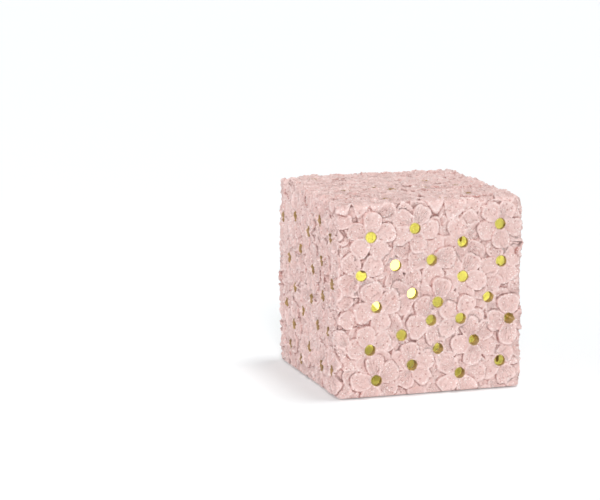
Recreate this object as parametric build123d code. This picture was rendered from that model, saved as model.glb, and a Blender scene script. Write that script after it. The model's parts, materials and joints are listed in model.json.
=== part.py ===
from build123d import *
import os
from math import cos, radians, sin, sqrt

# A cube lamp covered in flowers. A ceramic shell, open underneath and pierced
# with light holes, stands over a low base that carries a battery LED lantern.
# Millimetres, +Z up, origin at the centre of the footprint on the table.

# ---- driving dimensions ----------------------------------------------------
SIDE = 120.0            # width, depth and height over the flower relief
EDGE_RADIUS = 4.5       # rounded upright and top edges of the shell
FOOT_EDGE_RADIUS = 2.5  # rounded edge round the bottom rim
WALL = 7.5              # shell wall, relief included
CAVITY_RADIUS = 6.0     # inside corners of the shell
RIM_Z = 0.5             # the shell's bottom rim clears the table by this much
REBATE_WALL = 5.0       # wall left beside the rebate that takes the base
HOLE_RADIUS = 3.35      # one light hole at the heart of each open flower
HOLE_OVERRUN = 6.0      # how far a hole's cutter starts outside the wall
HOLE_OVERSHOOT = 4.0    # and how far past the wall's plain thickness it ends

PLATE_BOTTOM_Z = 2.0    # underside of the base plate
PLATE_TOP_Z = 5.0       # the shell's shoulder rests here
PLATE_GAP = 0.3         # play between base plate and shell rebate
FLOOR_Z = 4.0           # floor of the battery cup

CUP_RADIUS = 32.4       # outside of the battery cup
CUP_WALL = 1.5
CUP_TOP_Z = 16.5
CAP_GAP = 0.3           # play between the cup and the lantern head's skirt
CAP_WALL = 2.0
CAP_SEAT_Z = 8.0        # the skirt stands on the cup's ledge here
CAP_TOP_Z = 24.0
DECK_THICKNESS = 2.0

CELL_RADIUS = 5.25      # AAA cell
CELL_LENGTH = 44.5      # with its button
BUTTON_LENGTH = 1.2
BUTTON_RADIUS = 1.9
CELL_PITCH = 11.0
CELL_Z = 9.5
BAY_LENGTH = 52.0
BAY_WIDTH = 33.2
BAY_WALL = 1.2
BAY_TOP_Z = 15.5
DIVIDER_LENGTH = 38.0   # low ribs between the cells
DIVIDER_WIDTH = 1.2
DIVIDER_HEIGHT = 2.5
CAN_CHAMFER = 0.4

CONTACT_SIZE = 8.0      # height and width of a battery contact
CONTACT_THICKNESS = 0.4
CONTACT_GAP = 0.1       # from the bay's end wall
LEAF_WIDTH = 5.6        # the bowed leaf of a spring contact

BOARD_RADIUS = 27.0
BOARD_BOTTOM_Z = 17.6
BOARD_THICKNESS = 1.6
SCREW_CIRCLE = 22.0
SCREW_RADIUS = 1.0
SCREW_HEAD_RADIUS = 1.9
SCREW_HEAD_HEIGHT = 1.2
SCREW_LENGTH = 4.0      # shank
SCREW_SLOT = (2.8, 0.5, 0.6)
SCREW_HOLE_PLAY = 0.1
BOSS_RADIUS = 2.8
SKIRT_EDGE_RADIUS = 2.5  # rounded shoulder of the lantern head
FLUTE_COUNT = 18        # finger flutes round the skirt
FLUTE_RADIUS = 2.2
FLUTE_OFFSET = 1.5      # each flute's axis lies this far outside the skirt
FLUTE_BOTTOM_RISE = 2.0
FLUTE_TOP_DROP = 5.0
CHIP_SIZE = (5.0, 4.0, 1.4)
CAPACITOR_RADIUS = 3.0
CAPACITOR_HEIGHT = 2.2
COMPONENT_X = 17.0      # the chip's and the capacitor's places on the board
COMPONENT_Y = 8.0

COLUMN_RADIUS = 10.0
COLUMN_WALL = 1.7
COLUMN_FLANGE_RADIUS = 13.0
COLUMN_FLANGE_HEIGHT = 1.8
COLUMN_TOP_Z = 42.0
COLUMN_TOP_WALL = 1.2
LEAD_RADIUS = 0.6
LEAD_OFFSET = 5.6
LEAD_HOLE_PLAY = 0.2

LED_BOARD_RADIUS = 7.5
LED_BOARD_THICKNESS = 1.2
LED_SIZE = (3.5, 2.8, 1.2)
LED_LENS_RADIUS = 1.1
LED_LENS_HEIGHT = 0.4
LED_CIRCLE = 3.0

GLOBE_RADIUS = 20.0
GLOBE_WALL = 1.6
GLOBE_Z = 57.0
NECK_RADIUS = 12.0
NECK_BOTTOM_Z = 36.0
NECK_PLAY = 0.1

FOOT_RADIUS = 5.0
FOOT_HEIGHT = 3.0
FOOT_RECESS = 1.0
FOOT_PLAY = 0.1
FOOT_ROUNDING = 0.8
FOOT_OFFSET = 44.0

SWITCH_Y = -23.0
SWITCH_BODY = (12.0, 6.0, 6.0)
SWITCH_COLLAR_WALL = 1.0
SWITCH_COLLAR_HEIGHT = 3.5
SWITCH_PLAY = 0.1       # all round the switch in its collar
SWITCH_SLOT_HEIGHT = 2.4
SWITCH_TRAVEL = 3.0
KNOB_SIZE = (4.0, 3.0)
KNOB_BOTTOM_Z = 1.2
KNOB_TOP_DROP = 0.3     # the knob stays this far under the switch
KNOB_GROOVE = (0.5, 0.4)
KNOB_GROOVE_PITCH = 1.2
STEM_SIZE = 2.0
STEM_HEIGHT = 2.0       # the part of the stem inside the switch
SLOT_PLAY = 0.4

PIN_OFFSET = 8.0        # spring pins that carry current up to the board
PIN_Y = 23.0
PIN_RADIUS = 0.9
PIN_TIP_GAP = 0.3
PIN_TIP_ROUNDING = 0.5
PIN_SEAT_RISE = 4.0     # the pin starts this far above the cup's floor
PIN_BOSS_WALL = 1.2
PIN_BOSS_TOP_DROP = 2.0

# ---- light holes -------------------------------------------------------------
# Each hole is (across, up, lean): millimetres to the right of the face's middle
# as it is looked at from outside, millimetres above the table, and how many
# degrees the hand-pierced hole turns from square, inwards to the viewer's right.
# A hole that turns also dips inwards by DIP of that angle.
DIP = 0.55
FRONT_HOLES = [
    (-39, 99, 16), (-11, 103, 14), (20, 93, 10), (44, 103, 13),
    (-45, 76, 16), (-23, 81, 11), (0, 83, 7), (20, 72, 16), (45, 80, 13),
    (-35, 56, 5), (-12, 63, 6), (4, 57, 13), (37, 58, 2),
    (0, 46, 4), (19, 46, 8), (51, 44, -8), (-19, 38, 13), (28, 32, -2),
    (-39, 30, 6), (5, 28, -3), (-12, 19, 2), (19, 12, 3), (45, 18, 12), (-35, 11, 10),
]
# The back's holes are the front's, set a little higher and to one side.
BACK_HOLES = [(across - 2, up + 2, lean) for across, up, lean in FRONT_HOLES]
SIDE_HOLES = [
    (-51, 95, 6), (-26, 99, -4), (1, 94, 3), (22, 104, -5), (43, 97, 2),
    (-38, 71, 8), (-16, 80, 0), (11, 72, -3), (27, 80, 4), (46, 69, -4),
    (-27, 54, 5), (7, 53, -2), (29, 59, 0),
    (-44, 41, 7), (-10, 42, 3), (20, 39, -4), (39, 39, 2), (-27, 30, -5),
    (-37, 15, 4), (-15, 10, 0), (3, 22, 5), (27, 15, -3), (47, 16, 0),
]
# The top's holes are (x, y, lean).
TOP_HOLES = [
    (-7, -7, 3), (13, -9, -4), (35, -3, 5), (-15, 3, 0), (-37, -5, -3),
    (10, -50, 4), (30, -38, -2), (-23, -42, 3), (-41, 43, 5), (23, 18, 0),
]


def upright(radius, bottom, top, x=0.0, y=0.0):
    """A round post between two heights."""
    return Pos(x, y, bottom) * Cylinder(radius, top - bottom, align=(Align.CENTER, Align.CENTER, Align.MIN))


def block(width, depth, bottom, top, x=0.0, y=0.0):
    """A square-edged block between two heights."""
    return Pos(x, y, bottom) * Box(width, depth, top - bottom, align=(Align.CENTER, Align.CENTER, Align.MIN))


def rounded_block(width, corner, bottom, top):
    """A square block with rounded upright edges, between two heights."""
    outline = Plane.XY.offset(bottom) * RectangleRounded(width, width, corner)
    return extrude(outline, top - bottom)


# ---- ceramic shell -------------------------------------------------------------
def hole_cutter(lean):
    """A bar along local +X that starts outside the wall and ends just past it."""
    length = HOLE_OVERRUN + WALL + HOLE_OVERSHOOT
    bar = Cylinder(HOLE_RADIUS, length, align=(Align.CENTER, Align.CENTER, Align.MIN))
    bar = Rotation(0, 90, 0) * Pos(0, 0, -HOLE_OVERRUN) * bar
    return Rotation(0, 0, -lean) * Rotation(0, DIP * lean, 0) * bar


def wall_cutters(holes, turn):
    """Cutters for one upright face; turn is the face's heading about +Z."""
    cutters = []
    for across, up, lean in holes:
        # Local +X points into the wall, so the viewer's right is local -Y.
        place = Rotation(0, 0, turn) * Pos(-SIDE / 2, -across, up)
        cutters.append(place * hole_cutter(lean))
    return cutters


def top_cutters(holes):
    return [Pos(x, y, SIDE) * Rotation(0, 90, 0) * hole_cutter(lean) for x, y, lean in holes]


def flower_shell():
    body = rounded_block(SIDE, EDGE_RADIUS, RIM_Z, SIDE)
    body = fillet(body.faces().sort_by(Axis.Z)[-1].edges(), EDGE_RADIUS - 0.1)
    body = fillet(body.faces().sort_by(Axis.Z)[0].edges(), FOOT_EDGE_RADIUS)
    cavity = rounded_block(SIDE - 2 * WALL, CAVITY_RADIUS, RIM_Z - 1, SIDE - WALL)
    cavity = fillet(cavity.faces().sort_by(Axis.Z)[-1].edges(), CAVITY_RADIUS - 0.1)
    rebate = rounded_block(SIDE - 2 * REBATE_WALL, CAVITY_RADIUS, RIM_Z - 1, PLATE_TOP_Z)
    holes = wall_cutters(FRONT_HOLES, 90) + wall_cutters(SIDE_HOLES, 0)
    holes += wall_cutters(BACK_HOLES, -90) + wall_cutters(SIDE_HOLES, 180)
    holes += top_cutters(TOP_HOLES)
    return body - cavity - rebate - holes


# ---- base ------------------------------------------------------------------------
def cell_rows():
    """Each cell's y, and +1 or -1 for the end that its button faces."""
    return [(-CELL_PITCH, 1), (0.0, -1), (CELL_PITCH, 1)]


def base_tray():
    plate_width = SIDE - 2 * REBATE_WALL - 2 * PLATE_GAP
    tray = rounded_block(plate_width, CAVITY_RADIUS - PLATE_GAP, PLATE_BOTTOM_Z, PLATE_TOP_Z)
    tray += upright(CUP_RADIUS + CAP_GAP + CAP_WALL, PLATE_TOP_Z, CAP_SEAT_Z)
    tray += upright(CUP_RADIUS, CAP_SEAT_Z, CUP_TOP_Z)
    tray -= upright(CUP_RADIUS - CUP_WALL, FLOOR_Z, CUP_TOP_Z)
    bay = block(BAY_LENGTH + 2 * BAY_WALL, BAY_WIDTH + 2 * BAY_WALL, FLOOR_Z, BAY_TOP_Z)
    bay -= block(BAY_LENGTH, BAY_WIDTH, FLOOR_Z, BAY_TOP_Z)
    tray += bay & upright(CUP_RADIUS - CUP_WALL / 2, FLOOR_Z, BAY_TOP_Z)
    boss_top = CUP_TOP_Z - PIN_BOSS_TOP_DROP
    for side in (-1, 1):
        y = side * CELL_PITCH / 2
        tray += block(DIVIDER_LENGTH, DIVIDER_WIDTH, FLOOR_Z, FLOOR_Z + DIVIDER_HEIGHT, y=y)
        tray += upright(PIN_RADIUS + PIN_BOSS_WALL, FLOOR_Z, boss_top, side * PIN_OFFSET, PIN_Y)
        tray -= upright(PIN_RADIUS, FLOOR_Z + PIN_SEAT_RISE, CUP_TOP_Z, side * PIN_OFFSET, PIN_Y)
    long = SWITCH_BODY[0] + 2 * SWITCH_PLAY
    wide = SWITCH_BODY[1] + 2 * SWITCH_PLAY
    collar_top = FLOOR_Z + SWITCH_COLLAR_HEIGHT
    wall = 2 * SWITCH_COLLAR_WALL
    collar = block(long + wall, wide + wall, FLOOR_Z, collar_top, y=SWITCH_Y)
    collar -= block(long, wide, FLOOR_Z, collar_top, y=SWITCH_Y)
    tray += collar & upright(CUP_RADIUS - CUP_WALL / 2, FLOOR_Z, CUP_TOP_Z)
    slot_long = KNOB_SIZE[0] + SWITCH_TRAVEL + 2 * SLOT_PLAY
    tray -= block(slot_long, KNOB_SIZE[1] + 2 * SLOT_PLAY, PLATE_BOTTOM_Z, FLOOR_Z, y=SWITCH_Y)
    for x, y in foot_places().values():
        tray -= upright(FOOT_RADIUS + FOOT_PLAY, PLATE_BOTTOM_Z, PLATE_BOTTOM_Z + FOOT_RECESS, x, y)
    return tray


def foot_places():
    """The four feet, by the corner each one stands at."""
    return {
        "foot_front_left": (-FOOT_OFFSET, -FOOT_OFFSET),
        "foot_front_right": (FOOT_OFFSET, -FOOT_OFFSET),
        "foot_back_left": (-FOOT_OFFSET, FOOT_OFFSET),
        "foot_back_right": (FOOT_OFFSET, FOOT_OFFSET),
    }


def foot(x, y):
    pad = upright(FOOT_RADIUS, 0.0, FOOT_HEIGHT, x, y)
    return fillet(pad.edges().group_by(Axis.Z)[0], FOOT_ROUNDING)


def battery_cell(y, button_side):
    """One cell along X, its button towards button_side."""
    contact_face = BAY_LENGTH / 2 - CONTACT_GAP - CONTACT_THICKNESS
    can_length = CELL_LENGTH - BUTTON_LENGTH
    can = Cylinder(CELL_RADIUS, can_length, align=(Align.CENTER, Align.CENTER, Align.MIN))
    can = chamfer(can.edges(), CAN_CHAMFER)
    button = Pos(0, 0, can_length) * Cylinder(
        BUTTON_RADIUS, BUTTON_LENGTH, align=(Align.CENTER, Align.CENTER, Align.MIN)
    )
    cell = Rotation(0, 90, 0) * (can + button)
    cell = Pos(contact_face - CELL_LENGTH, 0, 0) * cell
    if button_side < 0:
        cell = Rotation(0, 0, 180) * cell
    return Pos(0, y, CELL_Z) * cell


def button_contact(y, button_side):
    """The flat plate that a cell's button presses on."""
    x = button_side * (BAY_LENGTH / 2 - CONTACT_GAP - CONTACT_THICKNESS / 2)
    return Pos(x, y, CELL_Z) * Box(CONTACT_THICKNESS, CONTACT_SIZE, CONTACT_SIZE)


def spring_contact(y, button_side):
    """The plate and bowed leaf that push on a cell's flat end."""
    face = BAY_LENGTH / 2 - CONTACT_GAP - CONTACT_THICKNESS
    reach = 2 * face - CELL_LENGTH
    half = CONTACT_SIZE / 2
    plate = Pos(face + CONTACT_THICKNESS / 2, 0, 0) * Box(CONTACT_THICKNESS, CONTACT_SIZE, CONTACT_SIZE)
    outer = ThreePointArc((face, -half), (face - reach, 0), (face, half))
    inner = ThreePointArc(
        (face, half - CONTACT_THICKNESS * 1.5),
        (face - reach + CONTACT_THICKNESS, 0),
        (face, -half + CONTACT_THICKNESS * 1.5),
    )
    ends = Line(outer @ 1, inner @ 0) + Line(inner @ 1, outer @ 0)
    leaf = extrude(make_face(Plane.XZ * (Curve() + outer + ends + inner)), LEAF_WIDTH / 2, both=True)
    contact = plate + leaf
    if button_side > 0:
        contact = Rotation(0, 0, 180) * contact
    return Pos(0, y, CELL_Z) * contact


def spring_pin(side):
    """A brass pin that stands up out of its boss, just under the board."""
    bottom = FLOOR_Z + PIN_SEAT_RISE
    pin = upright(PIN_RADIUS, bottom, BOARD_BOTTOM_Z - PIN_TIP_GAP, side * PIN_OFFSET, PIN_Y)
    return fillet(pin.edges().sort_by(Axis.Z)[-1], PIN_TIP_ROUNDING)


def switch_body():
    long, wide, tall = SWITCH_BODY
    body = block(long, wide, FLOOR_Z, FLOOR_Z + tall, y=SWITCH_Y)
    slot_long = STEM_SIZE + SWITCH_TRAVEL + 2 * SLOT_PLAY
    slot_wide = STEM_SIZE + 2 * SLOT_PLAY
    return body - block(slot_long, slot_wide, FLOOR_Z, FLOOR_Z + SWITCH_SLOT_HEIGHT, y=SWITCH_Y)


def switch_knob():
    x = -SWITCH_TRAVEL / 2
    top = FLOOR_Z - KNOB_TOP_DROP
    knob_long, knob_wide = KNOB_SIZE
    groove_wide, groove_deep = KNOB_GROOVE
    groove_top = KNOB_BOTTOM_Z + groove_deep
    knob = block(knob_long, knob_wide, KNOB_BOTTOM_Z, top, x, SWITCH_Y)
    for number in (-1, 0, 1):
        groove_x = x + number * KNOB_GROOVE_PITCH
        knob -= block(groove_wide, knob_wide, KNOB_BOTTOM_Z, groove_top, groove_x, SWITCH_Y)
    return knob + block(STEM_SIZE, STEM_SIZE, top, FLOOR_Z + STEM_HEIGHT, x, SWITCH_Y)


# ---- lantern head -------------------------------------------------------------------
def screw_places():
    return [(SCREW_CIRCLE * cos(radians(a)), SCREW_CIRCLE * sin(radians(a))) for a in (90, 210, 330)]


def head_housing():
    outer = CUP_RADIUS + CAP_GAP + CAP_WALL
    deck_bottom = CAP_TOP_Z - DECK_THICKNESS
    board_top = BOARD_BOTTOM_Z + BOARD_THICKNESS
    housing = upright(outer, CAP_SEAT_Z, CAP_TOP_Z)
    housing = fillet(housing.edges().sort_by(Axis.Z)[-1], SKIRT_EDGE_RADIUS)
    housing -= upright(CUP_RADIUS + CAP_GAP, CAP_SEAT_Z, deck_bottom)
    housing -= upright(COLUMN_RADIUS, deck_bottom, CAP_TOP_Z)
    flute_circle = outer + FLUTE_OFFSET
    for number in range(FLUTE_COUNT):
        angle = radians(360 / FLUTE_COUNT * number)
        x, y = flute_circle * cos(angle), flute_circle * sin(angle)
        housing -= upright(FLUTE_RADIUS, CAP_SEAT_Z + FLUTE_BOTTOM_RISE, CAP_TOP_Z - FLUTE_TOP_DROP, x, y)
    for x, y in screw_places():
        housing += upright(BOSS_RADIUS, board_top, deck_bottom, x, y)
        housing -= upright(SCREW_RADIUS, board_top, BOARD_BOTTOM_Z + SCREW_LENGTH, x, y)
    return housing


def circuit_board():
    board_top = BOARD_BOTTOM_Z + BOARD_THICKNESS
    board = upright(BOARD_RADIUS, BOARD_BOTTOM_Z, board_top)
    for x, y in screw_places():
        board -= upright(SCREW_RADIUS + SCREW_HOLE_PLAY, BOARD_BOTTOM_Z, board_top, x, y)
    return board


def board_screws():
    """Three alike, driven up through the board into the bosses."""
    screws = []
    head_bottom = BOARD_BOTTOM_Z - SCREW_HEAD_HEIGHT
    slot_long, slot_wide, slot_deep = SCREW_SLOT
    for x, y in screw_places():
        head = upright(SCREW_HEAD_RADIUS, head_bottom, BOARD_BOTTOM_Z, x, y)
        head -= block(slot_long, slot_wide, head_bottom, head_bottom + slot_deep, x, y)
        screws.append(head + upright(SCREW_RADIUS, BOARD_BOTTOM_Z, BOARD_BOTTOM_Z + SCREW_LENGTH, x, y))
    return Compound(children=screws)


def light_column():
    deck_bottom = CAP_TOP_Z - DECK_THICKNESS
    flange_bottom = deck_bottom - COLUMN_FLANGE_HEIGHT
    cap_bottom = COLUMN_TOP_Z - COLUMN_TOP_WALL
    column = upright(COLUMN_FLANGE_RADIUS, flange_bottom, deck_bottom)
    column += upright(COLUMN_RADIUS, deck_bottom, COLUMN_TOP_Z)
    column -= upright(COLUMN_RADIUS - COLUMN_WALL, flange_bottom, cap_bottom)
    for side in (-1, 1):
        column -= upright(LEAD_RADIUS + LEAD_HOLE_PLAY, cap_bottom, COLUMN_TOP_Z, side * LEAD_OFFSET)
    return column


def led_lead(side):
    """A stiff wire from the board up to the light source."""
    return upright(LEAD_RADIUS, BOARD_BOTTOM_Z + BOARD_THICKNESS, COLUMN_TOP_Z, side * LEAD_OFFSET)


def led_board():
    return upright(LED_BOARD_RADIUS, COLUMN_TOP_Z, COLUMN_TOP_Z + LED_BOARD_THICKNESS)


def led_chip(angle):
    top = COLUMN_TOP_Z + LED_BOARD_THICKNESS
    chip_top = top + LED_SIZE[2]
    chip = block(LED_SIZE[0], LED_SIZE[1], top, chip_top)
    lens = upright(LED_LENS_RADIUS, chip_top, chip_top + LED_LENS_HEIGHT)
    return Rotation(0, 0, angle) * Pos(0, LED_CIRCLE, 0) * (chip + lens)


def globe_diffuser():
    inner = GLOBE_RADIUS - GLOBE_WALL
    bore = COLUMN_RADIUS + NECK_PLAY
    outer_join = GLOBE_Z - sqrt(GLOBE_RADIUS ** 2 - NECK_RADIUS ** 2)
    inner_join = GLOBE_Z - sqrt(inner ** 2 - bore ** 2)
    outer_arc = ThreePointArc((NECK_RADIUS, outer_join), (GLOBE_RADIUS, GLOBE_Z), (0, GLOBE_Z + GLOBE_RADIUS))
    inner_arc = ThreePointArc((0, GLOBE_Z + inner), (inner, GLOBE_Z), (bore, inner_join))
    outline = Curve() + [
        Line((bore, NECK_BOTTOM_Z), (NECK_RADIUS, NECK_BOTTOM_Z)),
        Line((NECK_RADIUS, NECK_BOTTOM_Z), (NECK_RADIUS, outer_join)),
        outer_arc,
        Line((0, GLOBE_Z + GLOBE_RADIUS), (0, GLOBE_Z + inner)),
        inner_arc,
        Line((bore, inner_join), (bore, NECK_BOTTOM_Z)),
    ]
    return revolve(make_face(Plane.XZ * outline), Axis.Z)


def driver_chip():
    top = BOARD_BOTTOM_Z + BOARD_THICKNESS
    return block(CHIP_SIZE[0], CHIP_SIZE[1], top, top + CHIP_SIZE[2], COMPONENT_X, COMPONENT_Y)


def smoothing_capacitor():
    top = BOARD_BOTTOM_Z + BOARD_THICKNESS
    return upright(CAPACITOR_RADIUS, top, top + CAPACITOR_HEIGHT, -COMPONENT_X, COMPONENT_Y)


def lamp():
    """Every sub-part, by name."""
    parts = {
        "flower_shell": flower_shell(),
        "base_tray": base_tray(),
        "switch_body": switch_body(),
        "switch_knob": switch_knob(),
        "head_housing": head_housing(),
        "circuit_board": circuit_board(),
        "driver_chip": driver_chip(),
        "smoothing_capacitor": smoothing_capacitor(),
        "board_screws": board_screws(),
        "light_column": light_column(),
        "led_lead_positive": led_lead(1),
        "led_lead_negative": led_lead(-1),
        "led_board": led_board(),
        "globe_diffuser": globe_diffuser(),
        "spring_pin_positive": spring_pin(1),
        "spring_pin_negative": spring_pin(-1),
    }
    for name, (x, y) in foot_places().items():
        parts[name] = foot(x, y)
    for number, (y, button_side) in enumerate(cell_rows(), start=1):
        parts[f"battery_cell_{number}"] = battery_cell(y, button_side)
        parts[f"button_contact_{number}"] = button_contact(y, button_side)
        parts[f"spring_contact_{number}"] = spring_contact(y, button_side)
        parts[f"led_chip_{number}"] = led_chip(120 * number)
    return parts


os.makedirs("parts", exist_ok=True)
for name, shape in lamp().items():
    export_step(shape, f"parts/{name}.step")
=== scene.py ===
import json
from math import cos, pi, radians, sin

import bmesh
import bpy
import numpy as np
from mathutils import Matrix, Vector


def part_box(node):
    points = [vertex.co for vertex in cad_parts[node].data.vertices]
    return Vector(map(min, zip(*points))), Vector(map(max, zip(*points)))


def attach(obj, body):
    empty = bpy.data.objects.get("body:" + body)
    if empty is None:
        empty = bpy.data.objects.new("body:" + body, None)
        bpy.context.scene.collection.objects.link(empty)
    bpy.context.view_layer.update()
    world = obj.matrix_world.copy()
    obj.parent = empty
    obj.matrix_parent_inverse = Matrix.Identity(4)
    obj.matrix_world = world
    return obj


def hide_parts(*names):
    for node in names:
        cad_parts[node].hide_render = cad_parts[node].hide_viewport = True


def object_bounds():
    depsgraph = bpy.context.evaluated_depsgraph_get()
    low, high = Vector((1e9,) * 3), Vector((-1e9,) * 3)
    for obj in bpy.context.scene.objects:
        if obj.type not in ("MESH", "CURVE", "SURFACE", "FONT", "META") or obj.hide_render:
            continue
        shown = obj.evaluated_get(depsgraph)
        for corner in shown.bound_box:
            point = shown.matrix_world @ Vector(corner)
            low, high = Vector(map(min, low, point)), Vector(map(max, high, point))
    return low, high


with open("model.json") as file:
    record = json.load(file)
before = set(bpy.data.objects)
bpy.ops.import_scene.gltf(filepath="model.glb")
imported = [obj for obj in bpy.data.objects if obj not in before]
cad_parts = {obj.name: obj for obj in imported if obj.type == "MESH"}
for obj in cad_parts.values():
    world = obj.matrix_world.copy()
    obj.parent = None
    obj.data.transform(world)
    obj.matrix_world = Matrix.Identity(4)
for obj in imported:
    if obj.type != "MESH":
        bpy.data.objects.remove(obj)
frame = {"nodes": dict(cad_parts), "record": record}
cad_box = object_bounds()
nodes = frame["nodes"]

# A pierced ceramic cube covered in flowers, lit from inside by a small lantern.
# The relief is worked out in millimetres and turned to metres when a mesh is made.
MM = 0.001

# ---- light holes ---------------------------------------------------------------
# (across, up, lean): millimetres to the right of the face's middle as it is looked at
# from outside, millimetres above the table, and the degrees that the hand-pierced hole
# turns inwards to the viewer's right. It dips inwards by DIP of that angle.
DIP = 0.55
FRONT_HOLES = [
    (-39, 99, 16), (-11, 103, 14), (20, 93, 10), (44, 103, 13),
    (-45, 76, 16), (-23, 81, 11), (0, 83, 7), (20, 72, 16), (45, 80, 13),
    (-35, 56, 5), (-12, 63, 6), (4, 57, 13), (37, 58, 2),
    (0, 46, 4), (19, 46, 8), (51, 44, -8), (-19, 38, 13), (28, 32, -2),
    (-39, 30, 6), (5, 28, -3), (-12, 19, 2), (19, 12, 3), (45, 18, 12), (-35, 11, 10),
]
SIDE_HOLES = [
    (-51, 95, 6), (-26, 99, -4), (1, 94, 3), (22, 104, -5), (43, 97, 2),
    (-38, 71, 8), (-16, 80, 0), (11, 72, -3), (27, 80, 4), (46, 69, -4),
    (-27, 54, 5), (7, 53, -2), (29, 59, 0),
    (-44, 41, 7), (-10, 42, 3), (20, 39, -4), (39, 39, 2), (-27, 30, -5),
    (-37, 15, 4), (-15, 10, 0), (3, 22, 5), (27, 15, -3), (47, 16, 0),
]
# The top's holes are (x, y, lean).
TOP_HOLES = [
    (-7, -7, 3), (13, -9, -4), (35, -3, 5), (-15, 3, 0), (-37, -5, -3),
    (10, -50, 4), (30, -38, -2), (-23, -42, 3), (-41, 43, 5), (23, 18, 0),
]
# The back's holes are the front's, set a little higher and to one side.
BACK_HOLES = [(across - 2, up + 2, lean) for across, up, lean in FRONT_HOLES]
HOLE_RADIUS = 3.35
HOLE_OVERRUN = 6.0      # how far a hole's cutter starts outside the wall
HOLE_OVERSHOOT = 4.0    # and how far past the wall's plain thickness it ends

# ---- the shell's plain form, in millimetres ----------------------------------------
shell_low, shell_high = (np.array(corner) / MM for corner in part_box("flower_shell"))
HALF = (shell_high[0] - shell_low[0]) / 2
RIM_Z = shell_low[2]
TOP_Z = shell_high[2]
EDGE_RADIUS = 4.5
BOTTOM_EDGE_RADIUS = 2.5
WALL = 7.5
CAVITY_RADIUS = 6.0
CAVITY_TOP_RADIUS = 5.9
REBATE_WALL = 5.0       # the wall is thinner round the base, which fills the rebate
SHOULDER_Z = 5.0        # and the shell stands on the base at this height
CUT_BELOW = 3.0         # cutters start this far under the rim
GRID = 300              # cells along each side of the relief grid
CORNER_SEGMENTS = 8
BORE_SEGMENTS = 32
ON_THE_BORE = 0.05      # a point this near to a bore's wall belongs to it
SHARP_ANGLE = 52.0      # edges that turn by more degrees are left sharp

# ---- the relief, in millimetres ------------------------------------------------------
# Heights are counted outwards from RELIEF_DEPTH under the plain form.
RELIEF_DEPTH = 2.9
HIGHEST = 4.0           # no petal stands higher
HIGHEST_BLEND = 0.12    # how gently petals level off there
LOWEST = 0.85           # and no crevice is deeper, apart from the clay's waviness
RIM_HEIGHT = 1.9        # the plain line round the bottom
RIM_BLEND = (0.3, 1.8)  # the plain line turns to petals between these heights over the rim
WAVINESS = 0.08
WAVE_COUNT = 18
WAVE_PACE = 1.1         # radians per millimetre for each unit of a wave's drawn length
SLOWEST_WAVE = 0.6      # which is never less than this
SHELL_TRIANGLES = 165000  # the closed outside is thinned to this before anything is cut out of it

# ---- the flowers, in millimetres -------------------------------------------------------
FLOWER_REACH = 18.0     # nothing of a flower lies further from its middle
FLOWER_SPOTS = 57.0     # plain flowers lie no further than this from a face's middle
FACE_MARGIN = 4.0       # nor nearer than this to the cube's top or the table
PLAIN_SPACING = 10.5    # flowers without a hole fill gaps down to this size
PLAIN_ATTEMPTS = 900
FOUR_PETALLED = 0.2     # share of the flowers that have four petals, and not five
FLOWER_TILT = 0.035
WRAPS_ROUND_TO = -0.2   # cosine between the face's normal and the last that its flowers cover
# Ranges to draw from. Flowers on a hole stand over the plain ones.
HOLED_FLOWER = {"level": (1.7, 2.6), "size": (0.94, 1.05), "slope": (-0.85, 0.1)}
PLAIN_FLOWER = {"level": (0.8, 1.9), "size": (0.86, 1.0), "slope": (-0.6, 0.5)}

PETAL_REACH = 8.8       # from the flower's middle to the middle of a petal
PETAL_HALF_LENGTH = 6.7
PETAL_HALF_WIDTH = {4: 6.6, 5: 5.75}
PETAL_RANGES = {
    "turn": (-0.13, 0.13),         # radians from its even place round the flower
    "reach": (0.95, 1.05),         # times the plain reach, and so on for the next two
    "half_length": (0.94, 1.06),
    "half_width": (0.92, 1.08),
    "level": (-0.25, 0.25),        # over or under the flower's level
    "twist": (-0.4, 0.4),          # rise from the middle to one side
    "cup": (0.4, 1.4),             # how much the outline stands over the middle
    "veins": (0.2, 1.0),
}
PETAL_NOTCHES = [0.0, 0.05, 0.1]   # a petal's tip is drawn in by one of these shares
NOTCH_WIDTH = 0.3                  # radians round the petal
OVER_NEIGHBOURS = 0.2              # every other petal stands this much higher
PETAL_ROUNDNESS = 2.3              # 2 would make an ellipse, and more is squarer
PETAL_WIDENING = 0.2               # how much wider a petal gets towards its tip
PETAL_WIDTHS = (0.6, 1.3)          # its least and greatest width, times its own
OUTLINE_WAVES = ((2, 0.03), (3, 0.028), (7, 0.012))  # waves round a petal and their depth
DIMPLE_HEIGHT = 0.09
DIMPLES_ALONG = 6.0                # radians from a petal's middle to its tip
DIMPLES_ACROSS = 5.0
DIMPLE_SLANT = 1.5
FOLDS_AROUND = 24.0
FOLD_HEIGHT = 0.11
FOLD_FADE = (0.5, 0.95)
VEINS_AROUND = 40
VEIN_FADE = (0.6, 1.0)
VEINS_START = (2.6, 4.2)           # from the flower's middle

# Lines round a petal: (place, width), where 0 is its middle and 1 its outline.
LIP = (0.9, 0.07)
LIP_HEIGHT = 0.13
# painted highlight along the petal's rim
RIM_HIGHLIGHT = (0.9, 0.06)
GROOVE = (1.08, 0.045)
# painted shade along the crevice just outside a petal's outline
CREVICE_SHADE = (1.045, 0.045)
PETAL_EDGE = (0.97, 1.09)          # a petal gives way to what lies under it between these
GROOVE_DEPTH = (0.12, 0.3)         # everywhere, and added for each millimetre of step
CREVICE_SHADE_TONE = (0.1, 0.9)          # the same, for the painted shade in the crevice
PETAL_SINK = 0.3                   # the most that a petal lies below what it covers

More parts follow.
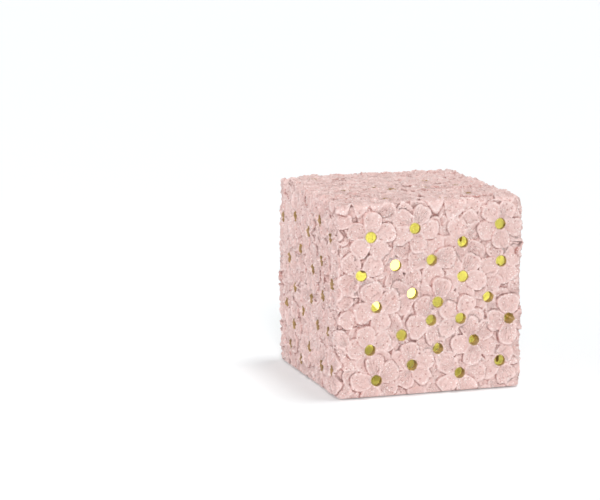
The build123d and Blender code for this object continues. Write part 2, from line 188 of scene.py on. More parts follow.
COLLAR = (3.9, 5.0)                # the flower levels off round its hole between these radii
COLLAR_SHADE_REMOVAL = 0.6                 # share of the crevice's painted shade that the collar takes away
MOUTH_RADIUS = 4.4                 # where the hole's rounded mouth begins
MOUTH_DIP = 0.5
HOLE_CLEARANCE = (4.1, 5.6)        # petals of other flowers end between these radii round a hole
BITE_REACH = 6.5                   # a hole bites flowers no further than this past their reach
LAYERS = ("height", "crevice_shade", "rim", "veined", "across", "up")
BUD_HEIGHT = 0.25
BUD = (0.0, 1.3)                   # place and width from a plain flower's middle
BUD_MOAT_DEPTH = 0.3
BUD_MOAT = (2.3, 0.8)

# ---- colours, light and view -------------------------------------------------------------
CLAY = {
    "pink": (224, 192, 187),
    "light pink": (230, 202, 197),
    "mottle": (208, 160, 150),
    # a painted highlight on the petals' rims
    "petal rim highlight": (246, 230, 227),
    # painted shade in the crevices
    "crevice_shade": (162, 84, 72),
    "dark speck": (160, 98, 86),
    # pale glossy specks, partly the clay's sparkle and partly painted glints
    "pale speck": (255, 248, 244),
    # painted lantern light and shade on the bores' walls
    "bore": (184, 152, 112),
    "glaze": (250, 248, 240),
}
JACKET_BAND_X = (9.9, 10.1)  # the battery jackets change colour here, in millimetres
GLOW_COLOUR = (1.0, 0.93, 0.19, 1.0)
GLOW_STRENGTH = 3.1
FLOOR_COLOUR = (228, 231, 232)
FLOOR_GLOW = 0.165
FLOOR_SIZE = 30.0
HORIZON_LIGHT = 1.05
ZENITH_LIGHT = 0.0
DISTANT = 2.0             # where the distant lights stand, which doesn't change their light
# Azimuth 0 is in front and grows to the right. Spread is a light's width in degrees.
OVERHEAD_LIGHT = {"azimuth": 80, "elevation": 78, "spread": 16, "strength": 1.42}
FRONT_LIGHT = {"azimuth": -17, "elevation": 36, "spread": 14, "strength": 1.4}
SIDE_LIGHT = {
    "azimuth": -75, "elevation": 12, "distance": 1.5,
    "size": 1.2, "power": 5.8, "colour": (0.96, 0.94, 1.0),
}
CENTRE = (Vector(cad_box[0]) + Vector(cad_box[1])) / 2
VIEW_AZIMUTH = -17.8
VIEW_ELEVATION = 10.4
VIEW_DISTANCE = 1.565
LENS = 150.0
RIGHT_OF_CENTRE = 0.0612  # where the cube's middle stands in the picture, in metres
BELOW_CENTRE = 0.0185

rng = np.random.default_rng(20)


def smoothstep(low, high, value):
    """0 up to the low limit, 1 from the high one, and smooth between them."""
    t = np.clip((value - low) / (high - low), 0.0, 1.0)
    return t * t * (3.0 - 2.0 * t)


def ring(value, place, width):
    """1 where the value is at its place, falling to 0 within about twice the width."""
    return np.exp(-((value - place) / width) ** 2)


class Face:
    """One side of the cube: where flat positions on it lie in space."""

    def __init__(self, origin, right, up):
        self.origin = np.array(origin, float)
        self.right = np.array(right, float)
        self.up = np.array(up, float)
        self.normal = np.cross(self.right, self.up)

    def place(self, across, up):
        return self.origin + self.right * across + self.up * up


FACES = {
    "front": Face((0, -HALF, 0), (1, 0, 0), (0, 0, 1)),
    "right": Face((HALF, 0, 0), (0, 1, 0), (0, 0, 1)),
    "back": Face((0, HALF, 0), (-1, 0, 0), (0, 0, 1)),
    "left": Face((-HALF, 0, 0), (0, -1, 0), (0, 0, 1)),
    "top": Face((0, 0, TOP_Z), (1, 0, 0), (0, 1, 0)),
}
HOLES = {
    "front": FRONT_HOLES,
    "right": SIDE_HOLES,
    "back": BACK_HOLES,
    "left": SIDE_HOLES,
    "top": TOP_HOLES,
}


class Flower:
    """Four or five overlapping petals round one point of a face."""

    def __init__(self, face, across, up, holed):
        self.face = face
        self.centre = face.place(across, up)
        self.holed = holed
        kind = HOLED_FLOWER if holed else PLAIN_FLOWER
        self.level = rng.uniform(*kind["level"])
        count = 4 if rng.random() < FOUR_PETALLED else 5
        start = rng.uniform(0, 2 * pi)
        size = rng.uniform(*kind["size"])
        self.tilt = rng.uniform(-FLOWER_TILT, FLOWER_TILT, 2)
        self.petals = []
        for number in range(count):
            self.petals.append({
                "angle": start + 2 * pi * number / count + self.drawn("turn"),
                "reach": size * PETAL_REACH * self.drawn("reach"),
                "half_length": size * PETAL_HALF_LENGTH * self.drawn("half_length"),
                "half_width": size * PETAL_HALF_WIDTH[count] * self.drawn("half_width"),
                "level": self.level + OVER_NEIGHBOURS * (number % 2) + self.drawn("level"),
                "slope": rng.uniform(*kind["slope"]),
                "twist": self.drawn("twist"),
                "cup": self.drawn("cup"),
                "notch": rng.choice(PETAL_NOTCHES),
                "veins": self.drawn("veins"),
                "phases": rng.uniform(0, 2 * pi, 3),
            })
        # Every other petal lies over its neighbours.
        self.petals = self.petals[0::2] + self.petals[1::2]

    @staticmethod
    def drawn(name):
        return rng.uniform(*PETAL_RANGES[name])


def lay_flowers():
    """A flower on every hole and plain ones in the gaps that are left, the lowest first."""
    flowers = []
    for name, face in FACES.items():
        holed = [(across, up) for across, up, lean in HOLES[name]]
        low, high = FACE_MARGIN, TOP_Z - FACE_MARGIN
        if name == "top":
            low, high = -FLOWER_SPOTS, FLOWER_SPOTS
        taken = [np.array(spot, float) for spot in holed]
        plain = []
        for attempt in range(PLAIN_ATTEMPTS):
            spot = np.array([rng.uniform(-FLOWER_SPOTS, FLOWER_SPOTS), rng.uniform(low, high)])
            if min(np.hypot(*(spot - other)) for other in taken) > PLAIN_SPACING:
                taken.append(spot)
                plain.append(spot)
        flowers += [Flower(face, across, up, False) for across, up in plain]
        flowers += [Flower(face, across, up, True) for across, up in holed]
    return sorted(flowers, key=lambda flower: flower.level)


FLOWERS = lay_flowers()


def petal_form(along, across, petal):
    """How far out in the petal each point lies, 1 at its outline, and the petal's own height there."""
    x = (along - petal["reach"]) / petal["half_length"]
    y = across / (petal["half_width"] * np.clip(1.0 + PETAL_WIDENING * x, *PETAL_WIDTHS))
    turn = np.arctan2(y, x)
    phases = petal["phases"]
    outline = np.ones(len(turn))
    for (count, depth), phase in zip(OUTLINE_WAVES, phases):
        outline += depth * np.cos(count * turn + phase)
    outline += petal["notch"] * ring(turn, 0.0, NOTCH_WIDTH)
    power = PETAL_ROUNDNESS
    rho = (np.abs(x) ** power + np.abs(y) ** power) ** (1 / power) * outline
    height = petal["level"] + petal["slope"] * x + petal["twist"] * y + petal["cup"] * (rho ** 2 - 0.5)
    height += LIP_HEIGHT * ring(rho, *LIP)
    dimples = np.sin(DIMPLES_ALONG * x + DIMPLE_SLANT * y + phases[0])
    height += DIMPLE_HEIGHT * dimples * np.sin(DIMPLES_ACROSS * y + phases[1])
    folds = np.sin(np.arctan2(across, along) * FOLDS_AROUND + phases[2])
    height += FOLD_HEIGHT * petal["veins"] * folds * (1.0 - smoothstep(*FOLD_FADE, rho))
    return rho, height


def relief(points, normals):
    """Relief height, and what the clay's colour and grain follow, at each point of the plain form."""
    layers = {name: np.zeros(len(points)) for name in LAYERS}
    holed = [flower for flower in FLOWERS if flower.holed]
    for flower in FLOWERS:
        offset = points - flower.centre
        distance = np.sqrt((offset ** 2).sum(1))
        facing = normals @ flower.face.normal > WRAPS_ROUND_TO
        near = np.flatnonzero((distance < FLOWER_REACH) & facing)
        if not len(near):
            continue
        offset = offset[near]
        distance = distance[near]
        a = offset @ flower.face.right
        b = offset @ flower.face.up
        # A flower near the cube's edge wraps round it.
        unroll = distance / np.maximum(np.hypot(a, b), 1e-6)
        a = a * unroll
        b = b * unroll
        # Petals stop short of the holes of other flowers.
        bite = np.zeros(len(near))
        for other in holed:
            if other is flower or np.linalg.norm(other.centre - flower.centre) > FLOWER_REACH + BITE_REACH:
                continue
            gap = np.linalg.norm(points[near] - other.centre, axis=1)
            bite = np.maximum(bite, 1.0 - smoothstep(*HOLE_CLEARANCE, gap))
        here = {name: layer[near] for name, layer in layers.items()}
        for petal in flower.petals:
            c, s = cos(petal["angle"]), sin(petal["angle"])
            rho, height = petal_form(a * c + b * s, b * c - a * s, petal)
            height += a * flower.tilt[0] + b * flower.tilt[1]
            rho += bite
            cover = 1.0 - smoothstep(*PETAL_EDGE, rho)
            groove = ring(rho, *GROOVE) * (1.0 - cover)
            step = np.clip(height - here["height"], 0.0, 1.0)
            height = np.maximum(height, here["height"] - PETAL_SINK)
            groove = groove * (GROOVE_DEPTH[0] + GROOVE_DEPTH[1] * step)
            here["height"] += (height - here["height"]) * cover - groove
            # Painted shade along the crevice at the petal's edge, darker where the step down is larger.
            tone = ring(rho, *CREVICE_SHADE) * (CREVICE_SHADE_TONE[0] + CREVICE_SHADE_TONE[1] * step)
            here["crevice_shade"] = np.maximum(here["crevice_shade"] * (1.0 - cover), tone)
            # A painted highlight along the petal's rim.
            here["rim"] += (ring(rho, *RIM_HIGHLIGHT) - here["rim"]) * cover
            veined = petal["veins"] * (1.0 - smoothstep(*VEIN_FADE, rho))
            veined = veined * smoothstep(*VEINS_START, distance)
            here["veined"] += (veined - here["veined"]) * cover
            here["across"] = np.where(cover > 0.5, a, here["across"])
            here["up"] = np.where(cover > 0.5, b, here["up"])
        if flower.holed:
            collar = 1.0 - smoothstep(*COLLAR, distance)
            here["height"] += (flower.level - here["height"]) * collar
            mouth = np.clip((MOUTH_RADIUS - distance) / (MOUTH_RADIUS - HOLE_RADIUS), 0.0, 1.0)
            here["height"] -= MOUTH_DIP * mouth ** 2
            # The collar takes away part of the painted shade.
            here["crevice_shade"] *= 1.0 - COLLAR_SHADE_REMOVAL * collar
        else:
            here["height"] += BUD_HEIGHT * ring(distance, *BUD) - BUD_MOAT_DEPTH * ring(distance, *BUD_MOAT)
        for name, layer in layers.items():
            layer[near] = here[name]
    return layers


WAVES = rng.normal(size=(WAVE_COUNT, 3))
WAVE_PHASES = rng.uniform(0, 2 * pi, WAVE_COUNT)


def unevenness(points):
    """Slow hand-modelled waviness of the clay."""
    total = np.zeros(len(points))
    for wave, phase in zip(WAVES, WAVE_PHASES):
        length = np.linalg.norm(wave)
        total += np.sin(points @ wave * (WAVE_PACE / length) * (SLOWEST_WAVE + length) + phase)
    return WAVINESS * total


def cube_grid():
    """A cube from -1 to 1 as a closed grid of outward quads."""
    line = np.arange(GRID + 1)
    m, n = np.meshgrid(line, line, indexing="ij")
    corners = []
    quads = []
    for axis in range(3):
        for end in (0, GRID):
            patch = np.empty((GRID + 1, GRID + 1, 3), int)
            patch[..., axis] = end
            patch[..., (axis + 1) % 3] = m
            patch[..., (axis + 2) % 3] = n
            number = len(corners) * (GRID + 1) ** 2 + m * (GRID + 1) + n
            round_a_cell = [number[:-1, :-1], number[1:, :-1], number[1:, 1:], number[:-1, 1:]]
            if end == 0:
                round_a_cell.reverse()
            quads.append(np.stack([corner.ravel() for corner in round_a_cell], 1))
            corners.append(patch.reshape(-1, 3))
    corners = np.concatenate(corners)
    keys = corners @ np.array([1, GRID + 1, (GRID + 1) ** 2])
    shared, first, where = np.unique(keys, return_index=True, return_inverse=True)
    return corners[first] * (2.0 / GRID) - 1.0, where[np.concatenate(quads)]


def plain_form(unit):
    """Wraps a cube from -1 to 1 on to the plain form: points, normals and which are underneath."""
    half_height = (TOP_Z - RIM_Z) / 2
    box = unit * np.array([HALF, HALF, half_height])
    core = np.clip(box[:, :2], -(HALF - EDGE_RADIUS), HALF - EDGE_RADIUS)
    out = box[:, :2] - core
    spread = np.abs(out).max(1)
    heading = out / np.maximum(np.hypot(out[:, 0], out[:, 1]), 1e-9)[:, None]
    rise = np.maximum(box[:, 2] - (half_height - EDGE_RADIUS), 0.0)
    round_off = np.where(rise > 0, EDGE_RADIUS / np.maximum(np.hypot(spread, rise), 1e-9), 1.0)
    spread = spread * round_off
    point = np.column_stack([core + heading * spread[:, None], box[:, 2] + rise * (round_off - 1.0)])
    point[:, 2] += (RIM_Z + TOP_Z) / 2
    normal = np.column_stack([heading * spread[:, None], rise * round_off]) / EDGE_RADIUS
    under = (unit[:, 2] <= -1.0) & (spread < EDGE_RADIUS - 1e-6)
    return point, normal, under


def on_plain_form(point):
    """The nearest place on the plain form and its normal."""
    core = np.empty_like(point)
    core[:, :2] = np.clip(point[:, :2], -(HALF - EDGE_RADIUS), HALF - EDGE_RADIUS)
    core[:, 2] = np.minimum(point[:, 2], TOP_Z - EDGE_RADIUS)
    out = point - core
    length = np.linalg.norm(out, axis=1)
    normal = out / np.maximum(length, 1e-6)[:, None]
    return core + normal * EDGE_RADIUS, normal


def petal_surface(point, normal):
    """The relief's layers, with the plain line at the foot of the walls worked in."""
    layers = relief(point, normal)
    height = np.maximum(layers["height"], LOWEST) + unevenness(point)
    height = HIGHEST - HIGHEST_BLEND * np.log1p(np.exp((HIGHEST - height) / HIGHEST_BLEND))
    band = smoothstep(RIM_Z + RIM_BLEND[0], RIM_Z + RIM_BLEND[1], point[:, 2])
    layers["height"] = height * band + RIM_HEIGHT * (1.0 - band)
    return layers


def evaluated(piece):
    """Replaces a piece's mesh by what its modifiers make of it."""
    graph = bpy.context.evaluated_depsgraph_get()
    mesh = bpy.data.meshes.new_from_object(piece.evaluated_get(graph))
    old = piece.data
    piece.modifiers.clear()
    piece.data = mesh
    bpy.data.meshes.remove(old)
    return piece


def new_object(name, mesh):
    piece = bpy.data.objects.new(name, mesh)
    bpy.context.scene.collection.objects.link(piece)
    return piece


def relief_body():
    """The closed outside of the shell, with its petals."""
    unit, quads = cube_grid()
    point, normal, under = plain_form(unit)
    inset = RELIEF_DEPTH - petal_surface(point, normal)["height"]
    foot = np.clip(RIM_Z + BOTTOM_EDGE_RADIUS - point[:, 2], 0.0, BOTTOM_EDGE_RADIUS)
    inset += BOTTOM_EDGE_RADIUS - np.sqrt(BOTTOM_EDGE_RADIUS ** 2 - foot ** 2)
    # The underside shrinks with the foot of the walls, so nothing folds over.
    inset[under] = RELIEF_DEPTH - RIM_HEIGHT + BOTTOM_EDGE_RADIUS
    point = (point - normal * inset[:, None]) * MM
    mesh = bpy.data.meshes.new("flower_shell_ceramic")
    mesh.vertices.add(len(point))
    mesh.vertices.foreach_set("co", point.ravel())
    mesh.loops.add(quads.size)
    mesh.loops.foreach_set("vertex_index", quads.ravel())
    mesh.polygons.add(len(quads))
    mesh.polygons.foreach_set("loop_start", np.arange(0, quads.size, 4))
    mesh.update(calc_edges=True)
    mesh.validate()
    return new_object("flower_shell_ceramic", mesh)


def rounded_box(name, half, low, high, corner, top_corner):
    """A closed box in millimetres with rounded upright edges, and rounded top edges if asked."""
    mesh = bpy.data.meshes.new(name)
    form = bmesh.new()
    bmesh.ops.create_cube(form, size=2.0)
    for vert in form.verts:
        vert.co = (vert.co.x * half, vert.co.y * half, low if vert.co.z < 0 else high)
    upright = [edge for edge in form.edges if abs(edge.verts[0].co.z - edge.verts[1].co.z) > 1e-6]
    rounding = {"segments": CORNER_SEGMENTS, "profile": 0.5, "affect": "EDGES"}
    bmesh.ops.bevel(form, geom=upright, offset=corner, **rounding)
    if top_corner:
        rim = [edge for edge in form.edges if all(abs(vert.co.z - high) < 1e-6 for vert in edge.verts)]
        bmesh.ops.bevel(form, geom=rim, offset=top_corner, **rounding)
    bmesh.ops.scale(form, vec=(MM, MM, MM), verts=form.verts)
    bmesh.ops.triangulate(form, faces=form.faces)
    form.to_mesh(mesh)
    form.free()
    return new_object(name, mesh)


def hole_axes():
    """Each light hole's point on the plain form and the direction it runs inwards."""
    axes = []
    for name, face in FACES.items():
        right, up = face.right, face.up
        if name == "top":
            right, up = -face.up, face.right
        for across, height, lean in HOLES[name]:
            yaw, dip = radians(lean), radians(DIP * lean)
            inward = -face.normal * cos(dip) * cos(yaw) + right * cos(dip) * sin(yaw) - up * sin(dip)
            axes.append((face.place(across, height), inward))
    return axes


def hole_cutters():
    """Every light hole as a closed bar through its wall, in one object."""
    form = bmesh.new()
    length = HOLE_OVERRUN + WALL + HOLE_OVERSHOOT
    for mouth, inward in hole_axes():
        middle = Vector(mouth + inward * (length / 2 - HOLE_OVERRUN)) * MM
        turn = Vector(inward).to_track_quat("Z", "Y").to_matrix().to_4x4()
        bmesh.ops.create_cone(
            form, cap_ends=True, segments=BORE_SEGMENTS, depth=length * MM,
            radius1=HOLE_RADIUS * MM, radius2=HOLE_RADIUS * MM, matrix=Matrix.Translation(middle) @ turn,
        )
    mesh = bpy.data.meshes.new("hole_cutters")
    bmesh.ops.triangulate(form, faces=form.faces)
    form.to_mesh(mesh)
    form.free()
    return new_object("hole_cutters", mesh)


def cut(piece, cutter):
    """Takes a closed cutter out of a closed piece."""
    boolean = piece.modifiers.new("cut", "BOOLEAN")
    boolean.operation = "DIFFERENCE"
    boolean.solver = "MANIFOLD"
    boolean.object = cutter
    evaluated(piece)
    bpy.data.objects.remove(cutter)


def in_a_bore(point):
    """1 for the points that lie on the wall of a light hole, its mouth included."""
    bored = np.zeros(len(point))
    for mouth, inward in hole_axes():
        offset = point - mouth
        along = offset @ inward
        radius = np.sqrt(np.maximum((offset ** 2).sum(1) - along ** 2, 0.0))
        bored[(radius < HOLE_RADIUS + ON_THE_BORE) & (np.abs(along) < WALL + HOLE_OVERSHOOT)] = 1.0
    return bored


def paint_relief(piece):
    """Stores on each point what the clay's colour and grain follow.

    They are the crevices, where shade is painted, the petals' rims, where a highlight is painted, the place
    in the flower and how veined it is there, the bores' walls, where lantern light and shade are painted,
    and the depth under the plain form.
    """
    mesh = piece.data
    point = np.empty(len(mesh.vertices) * 3)
    mesh.vertices.foreach_get("co", point)
    point = point.reshape(-1, 3) / MM
    place, normal = on_plain_form(point)
    layers = petal_surface(place, normal)
    depth = np.minimum(HALF - np.abs(point[:, :2]).max(1), TOP_Z - point[:, 2])
    # The relief's colours, the painted shade and highlight, end at the deepest crevice, so the cavity's
    # walls have none.
    outside = 1.0 - smoothstep(RELIEF_DEPTH + 0.1, RELIEF_DEPTH + 0.6, depth)
    values = {
        "crevice_shade": layers["crevice_shade"] * outside,
        "rim": layers["rim"] * outside,
        "across": layers["across"],
        "up": layers["up"],
        "veined": layers["veined"] * outside,
        "bore": in_a_bore(point),
        "depth": depth,
    }
    for name, value in values.items():
        layer = mesh.attributes.new(name, "FLOAT", "POINT")
        layer.data.foreach_set("value", value.astype(np.float32))


def flower_shell():
    """The pierced cube: the closed relief, less its cavity, the rebate for the base and the holes."""
    piece = relief_body()
    thin = piece.modifiers.new("thin", "DECIMATE")
    thin.ratio = SHELL_TRIANGLES / (2 * len(piece.data.polygons))
    evaluated(piece)
    foot = RIM_Z - CUT_BELOW
    cut(piece, rounded_box("cavity", HALF - WALL, foot, TOP_Z - WALL, CAVITY_RADIUS, CAVITY_TOP_RADIUS))
    cut(piece, rounded_box("rebate", HALF - REBATE_WALL, foot, SHOULDER_Z, CAVITY_RADIUS, 0.0))
    cut(piece, hole_cutters())
    piece.data.shade_smooth()
    piece.data.set_sharp_from_angle(angle=radians(SHARP_ANGLE))
    paint_relief(piece)
    return piece


# ---- materials -------------------------------------------------------------------------
def linear(red, green, blue):
    """Screen colour from 0 to 255, as the light values that shaders use."""
    def one(value):
        value = value / 255.0
        return value / 12.92 if value <= 0.04045 else ((value + 0.055) / 1.055) ** 2.4
    return (one(red), one(green), one(blue), 1.0)


class Shader:
    """A Principled material and short ways to add nodes to it."""

    def __init__(self, name, colour, roughness, **settings):
        self.material = bpy.data.materials.new(name)
        self.material.use_nodes = True
        self.tree = self.material.node_tree
        self.surface = self.tree.nodes["Principled BSDF"]
        self.surface.inputs["Base Color"].default_value = colour
        self.surface.inputs["Roughness"].default_value = roughness
        for socket, value in settings.items():
            self.surface.inputs[socket.replace("_", " ")].default_value = value
        self.place = self.tree.nodes.new("ShaderNodeTexCoord").outputs["Object"]

    def link(self, source, target):
        """Feeds an input with another node's output, a number or a colour."""
        if isinstance(source, (int, float, tuple)):
            target.default_value = source
        else:
            self.tree.links.new(source, target)

    def noise(self, size, detail=3.0, roughness=0.5):
        """Noise from 0 to 1 whose features are about size millimetres across."""
        node = self.tree.nodes.new("ShaderNodeTexNoise")
        node.inputs["Scale"].default_value = 1.0 / (size * MM)
        node.inputs["Detail"].default_value = detail
        node.inputs["Roughness"].default_value = roughness
        self.link(self.place, node.inputs["Vector"])
        return node.outputs["Fac"]

    def cells(self, size, feature="F1"):
        """Distance within scattered cells about size millimetres across, in cell widths."""
        node = self.tree.nodes.new("ShaderNodeTexVoronoi")
        node.feature = feature
        node.inputs["Scale"].default_value = 1.0 / (size * MM)
        self.link(self.place, node.inputs["Vector"])
        return node.outputs["Distance"]

    def attribute(self, name):
        node = self.tree.nodes.new("ShaderNodeAttribute")
        node.attribute_name = name
        return node.outputs["Fac"]

    def math(self, operation, first, second=0.0):
        node = self.tree.nodes.new("ShaderNodeMath")
        node.operation = operation
        self.link(first, node.inputs[0])
        self.link(second, node.inputs[1])
        return node.outputs[0]

    def span(self, value, low, high, out_low=0.0, out_high=1.0):
        """Maps a value from one range to another, and holds it there."""
        node = self.tree.nodes.new("ShaderNodeMapRange")
        node.inputs["From Min"].default_value = low
        node.inputs["From Max"].default_value = high
        node.inputs["To Min"].default_value = out_low
        node.inputs["To Max"].default_value = out_high
        self.link(value, node.inputs["Value"])
        return node.outputs["Result"]

    def mix(self, amount, first, second):
        node = self.tree.nodes.new("ShaderNodeMix")
        node.data_type = "RGBA"
        self.link(amount, node.inputs["Factor"])
        self.link(first, node.inputs[6])
        self.link(second, node.inputs[7])
        return node.outputs[2]

    def colour(self, value):
        self.link(value, self.surface.inputs["Base Color"])

    def roughness(self, value):
        self.link(value, self.surface.inputs["Roughness"])

    def glow(self, colour, strength):
        self.surface.inputs["Emission Color"].default_value = colour
        self.surface.inputs["Emission Strength"].default_value = strength

    def bump(self, height, distance):
        """Adds a bump in millimetres on top of those before it."""
        node = self.tree.nodes.new("ShaderNodeBump")
        node.inputs["Distance"].default_value = distance * MM
        node.inputs["Strength"].default_value = 1.0
        self.link(height, node.inputs["Height"])
        before = self.surface.inputs["Normal"].links
        if before:
            self.link(before[0].from_socket, node.inputs["Normal"])
        self.link(node.outputs["Normal"], self.surface.inputs["Normal"])


def bisque():
    """Matte pink unglazed clay, with red-brown painted shade in the crevices, a pale painted highlight on
    the rims, painted lantern light and shade on the bores' walls, pale specks that are partly painted
    glints, and white-glazed inside.
    """
    clay_colours = {name: linear(*value) for name, value in CLAY.items()}
    shader = Shader("pink_bisque", clay_colours["pink"], 0.62)
    tone = shader.span(shader.noise(26.0), 0.35, 0.65)
    clay = shader.mix(tone, clay_colours["pink"], clay_colours["light pink"])

    mottle = shader.span(shader.noise(2.2, 4.0, 0.7), 0.38, 0.64)
    clay = shader.mix(shader.math("MULTIPLY", mottle, 0.4), clay, clay_colours["mottle"])
    # Painted highlight: the petals' rims are paler.
    rim = shader.math("MULTIPLY", shader.attribute("rim"), 0.5)
    clay = shader.mix(rim, clay, clay_colours["petal rim highlight"])
    # Painted shade: the crevices are painted dark red-brown, broken up in places by noise.
    shade_patchiness = shader.span(shader.noise(5.0), 0.38, 0.6, 0.25, 0.7)
    crevice_shade_amount = shader.span(shader.attribute("crevice_shade"), 0.12, 0.7)
    clay = shader.mix(shader.math("MULTIPLY", crevice_shade_amount, shade_patchiness), clay, clay_colours["crevice_shade"])

    dark = shader.math("MULTIPLY", shader.span(shader.cells(2.9), 0.24, 0.15), 0.5)
    clay = shader.mix(dark, clay, clay_colours["dark speck"])
    # Pale, glossier specks in patches, partly the clay's sparkle and partly painted glints.
    patches = shader.span(shader.noise(5.0, 2.0), 0.42, 0.56)
    pale_glints = shader.math("MULTIPLY", shader.span(shader.cells(1.5), 0.36, 0.2), patches)
    clay = shader.mix(shader.math("MULTIPLY", pale_glints, 0.6), clay, clay_colours["pale speck"])

    # Painted lantern light and shade: the bores' walls are painted olive-brown.
    bored = shader.span(shader.attribute("bore"), 0.55, 0.9)
    clay = shader.mix(bored, clay, clay_colours["bore"])
    inside = shader.span(shader.attribute("depth"), WALL - 0.5, WALL - 0.15)
    shader.colour(shader.mix(inside, clay, clay_colours["glaze"]))
    shader.roughness(shader.span(pale_glints, 0.0, 1.0, 0.66, 0.32))

    turn = shader.math("ARCTAN2", shader.attribute("up"), shader.attribute("across"))
    vein = shader.math("SINE", shader.math("MULTIPLY", turn, VEINS_AROUND))
    shader.bump(shader.math("MULTIPLY", vein, shader.attribute("veined")), 0.17)
    shader.bump(shader.noise(1.9, 3.0, 0.6), 0.8)
    shader.bump(shader.noise(0.7, 3.0, 0.6), 0.3)
    return shader.material


def shade(colour, share):
    """A darker screen colour."""
    return tuple(int(channel * share) for channel in colour)


def moulded(name, colour, roughness, grain=0.35, depth=0.02):
    """Moulded plastic with a fine spark-eroded skin and slight unevenness of tone."""
    shader = Shader(name, linear(*colour), roughness)
    tone = shader.span(shader.noise(9.0), 0.35, 0.65)
    shader.colour(shader.mix(tone, linear(*colour), linear(*shade(colour, 0.93))))
    shader.roughness(shader.span(shader.noise(1.5), 0.3, 0.7, roughness - 0.06, roughness + 0.08))
    shader.bump(shader.noise(grain, 2.0), depth)
    return shader.material


def metal(name, colour, roughness):
    """Plated metal with faint wear and fine unevenness."""
    shader = Shader(name, linear(*colour), roughness, Metallic=1.0)
    wear = shader.span(shader.noise(3.0, 4.0), 0.45, 0.7)
    shader.colour(shader.mix(wear, linear(*colour), linear(*shade(colour, 0.8))))
    shader.roughness(shader.span(shader.noise(0.5), 0.3, 0.7, roughness * 0.8, roughness * 1.3))
    return shader.material


def rubber():
    """Dark rubber with some dust on it."""
    shader = Shader("dark_rubber", linear(48, 47, 49), 0.75)
    dusty = shader.span(shader.noise(4.0, 4.0), 0.5, 0.75, 0.0, 0.4)
    shader.colour(shader.mix(dusty, linear(44, 43, 45), linear(92, 89, 88)))
    shader.bump(shader.noise(0.5, 2.0), 0.03)
    return shader.material


def frosted_globe():
    """Frosted plastic lit from inside by the LEDs."""
    shader = Shader("frosted_globe", linear(244, 236, 160), 0.45)
    shader.glow(GLOW_COLOUR, GLOW_STRENGTH)
    shader.bump(shader.noise(0.4, 2.0), 0.02)
    return shader.material


def solder_mask():
    """Green circuit board with lighter traces under the mask."""
    shader = Shader("green_board", linear(22, 92, 52), 0.35)
    trace = shader.span(shader.cells(3.2, "DISTANCE_TO_EDGE"), 0.06, 0.09)
    shader.colour(shader.mix(trace, linear(44, 132, 74), linear(18, 84, 46)))
    shader.bump(trace, 0.03)
    return shader.material


def cell_jacket():
    """A plain two-band battery jacket, told apart along the cell's length."""
    shader = Shader("cell_jacket", linear(40, 92, 80), 0.32)
    place = shader.tree.nodes.new("ShaderNodeSeparateXYZ")
    shader.link(shader.place, place.inputs[0])
    band = shader.span(place.outputs["X"], JACKET_BAND_X[0] * MM, JACKET_BAND_X[1] * MM)
    scuffed = shader.span(shader.noise(2.0, 4.0), 0.6, 0.75, 0.0, 0.35)
    jacket = shader.mix(band, linear(36, 88, 76), linear(196, 148, 70))
    shader.colour(shader.mix(scuffed, jacket, linear(150, 152, 148)))
    shader.roughness(shader.span(scuffed, 0.0, 0.35, 0.3, 0.5))
    return shader.material


def insulation(name, colour):
    """A wire's coloured jacket, a little dulled by handling."""
    shader = Shader(name, linear(*colour), 0.38)
    dulled = shader.span(shader.noise(1.5), 0.4, 0.65)
    shader.colour(shader.mix(dulled, linear(*colour), linear(*shade(colour, 0.75))))
    return shader.material


def led_package():
    """Yellow phosphor, lit."""
    shader = Shader("led_package", linear(250, 224, 130), 0.25)
    grains = shader.span(shader.noise(0.6), 0.4, 0.6)
    shader.colour(shader.mix(grains, linear(252, 228, 136), linear(236, 200, 96)))
    shader.glow(GLOW_COLOUR, GLOW_STRENGTH)
    return shader.material


def dress_cad_nodes():
    """Gives each node that shows as it is the finish of its material slot."""
    finishes = {
        "tray_plastic": moulded("tray_plastic", (226, 219, 206), 0.5),
        "head_plastic": moulded("head_plastic", (236, 231, 220), 0.42),
        "frosted_globe": frosted_globe(),
        "dark_rubber": rubber(),
        "cell_jacket": cell_jacket(),
        "nickel_contact": metal("nickel_contact", (205, 202, 192), 0.22),
        "brass_pin": metal("brass_pin", (214, 178, 98), 0.2),
        "green_board": solder_mask(),
        "white_board": moulded("white_board", (240, 240, 236), 0.3, 0.8),
        "black_component": moulded("black_component", (30, 30, 31), 0.45),
        "led_package": led_package(),
        "red_lead": insulation("red_lead", (176, 30, 26)),
        "black_lead": insulation("black_lead", (24, 24, 25)),
        "screw_steel": metal("screw_steel", (178, 178, 174), 0.3),
        "switch_plastic": moulded("switch_plastic", (38, 38, 40), 0.55),
    }
    for entry in frame["record"]["subparts"]:
        if entry["material_slot"] in finishes:
            node = nodes[entry["node"]]
            for slot in node.material_slots:
                slot.material = finishes[entry["material_slot"]]


# ---- stage --------------------------------------------------------------------------------
def white_floor():
    """A wide pale floor that glows a little, so that it is as bright as the surround."""
    mesh = bpy.data.meshes.new("floor")
    form = bmesh.new()
    bmesh.ops.create_grid(form, x_segments=1, y_segments=1, size=FLOOR_SIZE)
    form.to_mesh(mesh)
    form.free()
    floor = new_object("floor", mesh)
    shader = Shader("white_floor", linear(*FLOOR_COLOUR), 0.9)
    shader.glow((1.0, 1.0, 1.0, 1.0), FLOOR_GLOW)
    mesh.materials.append(shader.material)


def outwards(azimuth, elevation):
    """The direction from the cube that these angles in degrees give."""
    a, e = radians(azimuth), radians(elevation)
    return Vector((sin(a) * cos(e), -cos(a) * cos(e), sin(e)))


def aim(source, azimuth, elevation, distance):
    """Puts a light at a distance from the cube, facing it."""
    back = outwards(azimuth, elevation)
    source.location = CENTRE + back * distance
    source.rotation_euler = back.to_track_quat("Z", "Y").to_euler()
    bpy.context.scene.collection.objects.link(source)


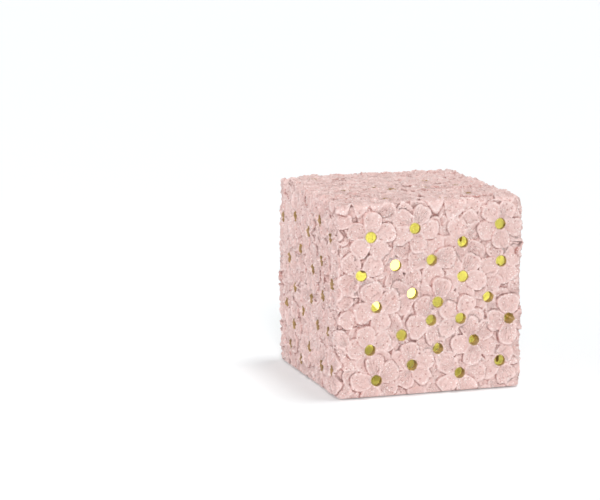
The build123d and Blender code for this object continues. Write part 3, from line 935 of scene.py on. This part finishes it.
def distant_light(name, azimuth, elevation, spread, strength):
    """Broad, even light from one side of the sky."""
    lamp = bpy.data.lights.new(name, "SUN")
    lamp.angle = radians(spread)
    lamp.energy = strength
    aim(bpy.data.objects.new(name, lamp), azimuth, elevation, DISTANT)


def square_light(name, azimuth, elevation, distance, size, power, colour):
    """A soft square light."""
    lamp = bpy.data.lights.new(name, "AREA")
    lamp.size = size
    lamp.energy = power
    lamp.color = colour
    aim(bpy.data.objects.new(name, lamp), azimuth, elevation, distance)


def studio():
    """A surround that darkens upwards, broad lights overhead and in front, a soft one at the left."""
    world = bpy.data.worlds.new("studio")
    world.use_nodes = True
    tree = world.node_tree
    background = tree.nodes["Background"]
    direction = tree.nodes.new("ShaderNodeTexCoord")
    parts = tree.nodes.new("ShaderNodeSeparateXYZ")
    strength = tree.nodes.new("ShaderNodeMapRange")
    strength.inputs["To Min"].default_value = HORIZON_LIGHT
    strength.inputs["To Max"].default_value = ZENITH_LIGHT
    tree.links.new(direction.outputs["Generated"], parts.inputs[0])
    tree.links.new(parts.outputs["Z"], strength.inputs["Value"])
    tree.links.new(strength.outputs["Result"], background.inputs["Strength"])
    background.inputs["Color"].default_value = (1.0, 1.0, 1.0, 1.0)
    bpy.context.scene.world = world
    distant_light("overhead", **OVERHEAD_LIGHT)
    distant_light("front", **FRONT_LIGHT)
    square_light("side", **SIDE_LIGHT)


def add_camera():
    """A long lens at the photograph's angle, with the cube to the right and a little low."""
    camera = bpy.data.objects.new("camera", bpy.data.cameras.new("camera"))
    bpy.context.scene.collection.objects.link(camera)
    camera.data.lens = LENS
    back = outwards(VIEW_AZIMUTH, VIEW_ELEVATION)
    right = Vector((cos(radians(VIEW_AZIMUTH)), sin(radians(VIEW_AZIMUTH)), 0.0))
    up = back.cross(right)
    camera.location = CENTRE + back * VIEW_DISTANCE - right * RIGHT_OF_CENTRE + up * BELOW_CENTRE
    camera.rotation_euler = back.to_track_quat("Z", "Y").to_euler()
    bpy.context.scene.camera = camera


bpy.context.scene.view_settings.view_transform = "Standard"
add_camera()
white_floor()
studio()
dress_cad_nodes()

shell = flower_shell()
shell.data.materials.clear()
shell.data.materials.append(bisque())
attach(shell, "shell")
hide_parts("flower_shell")
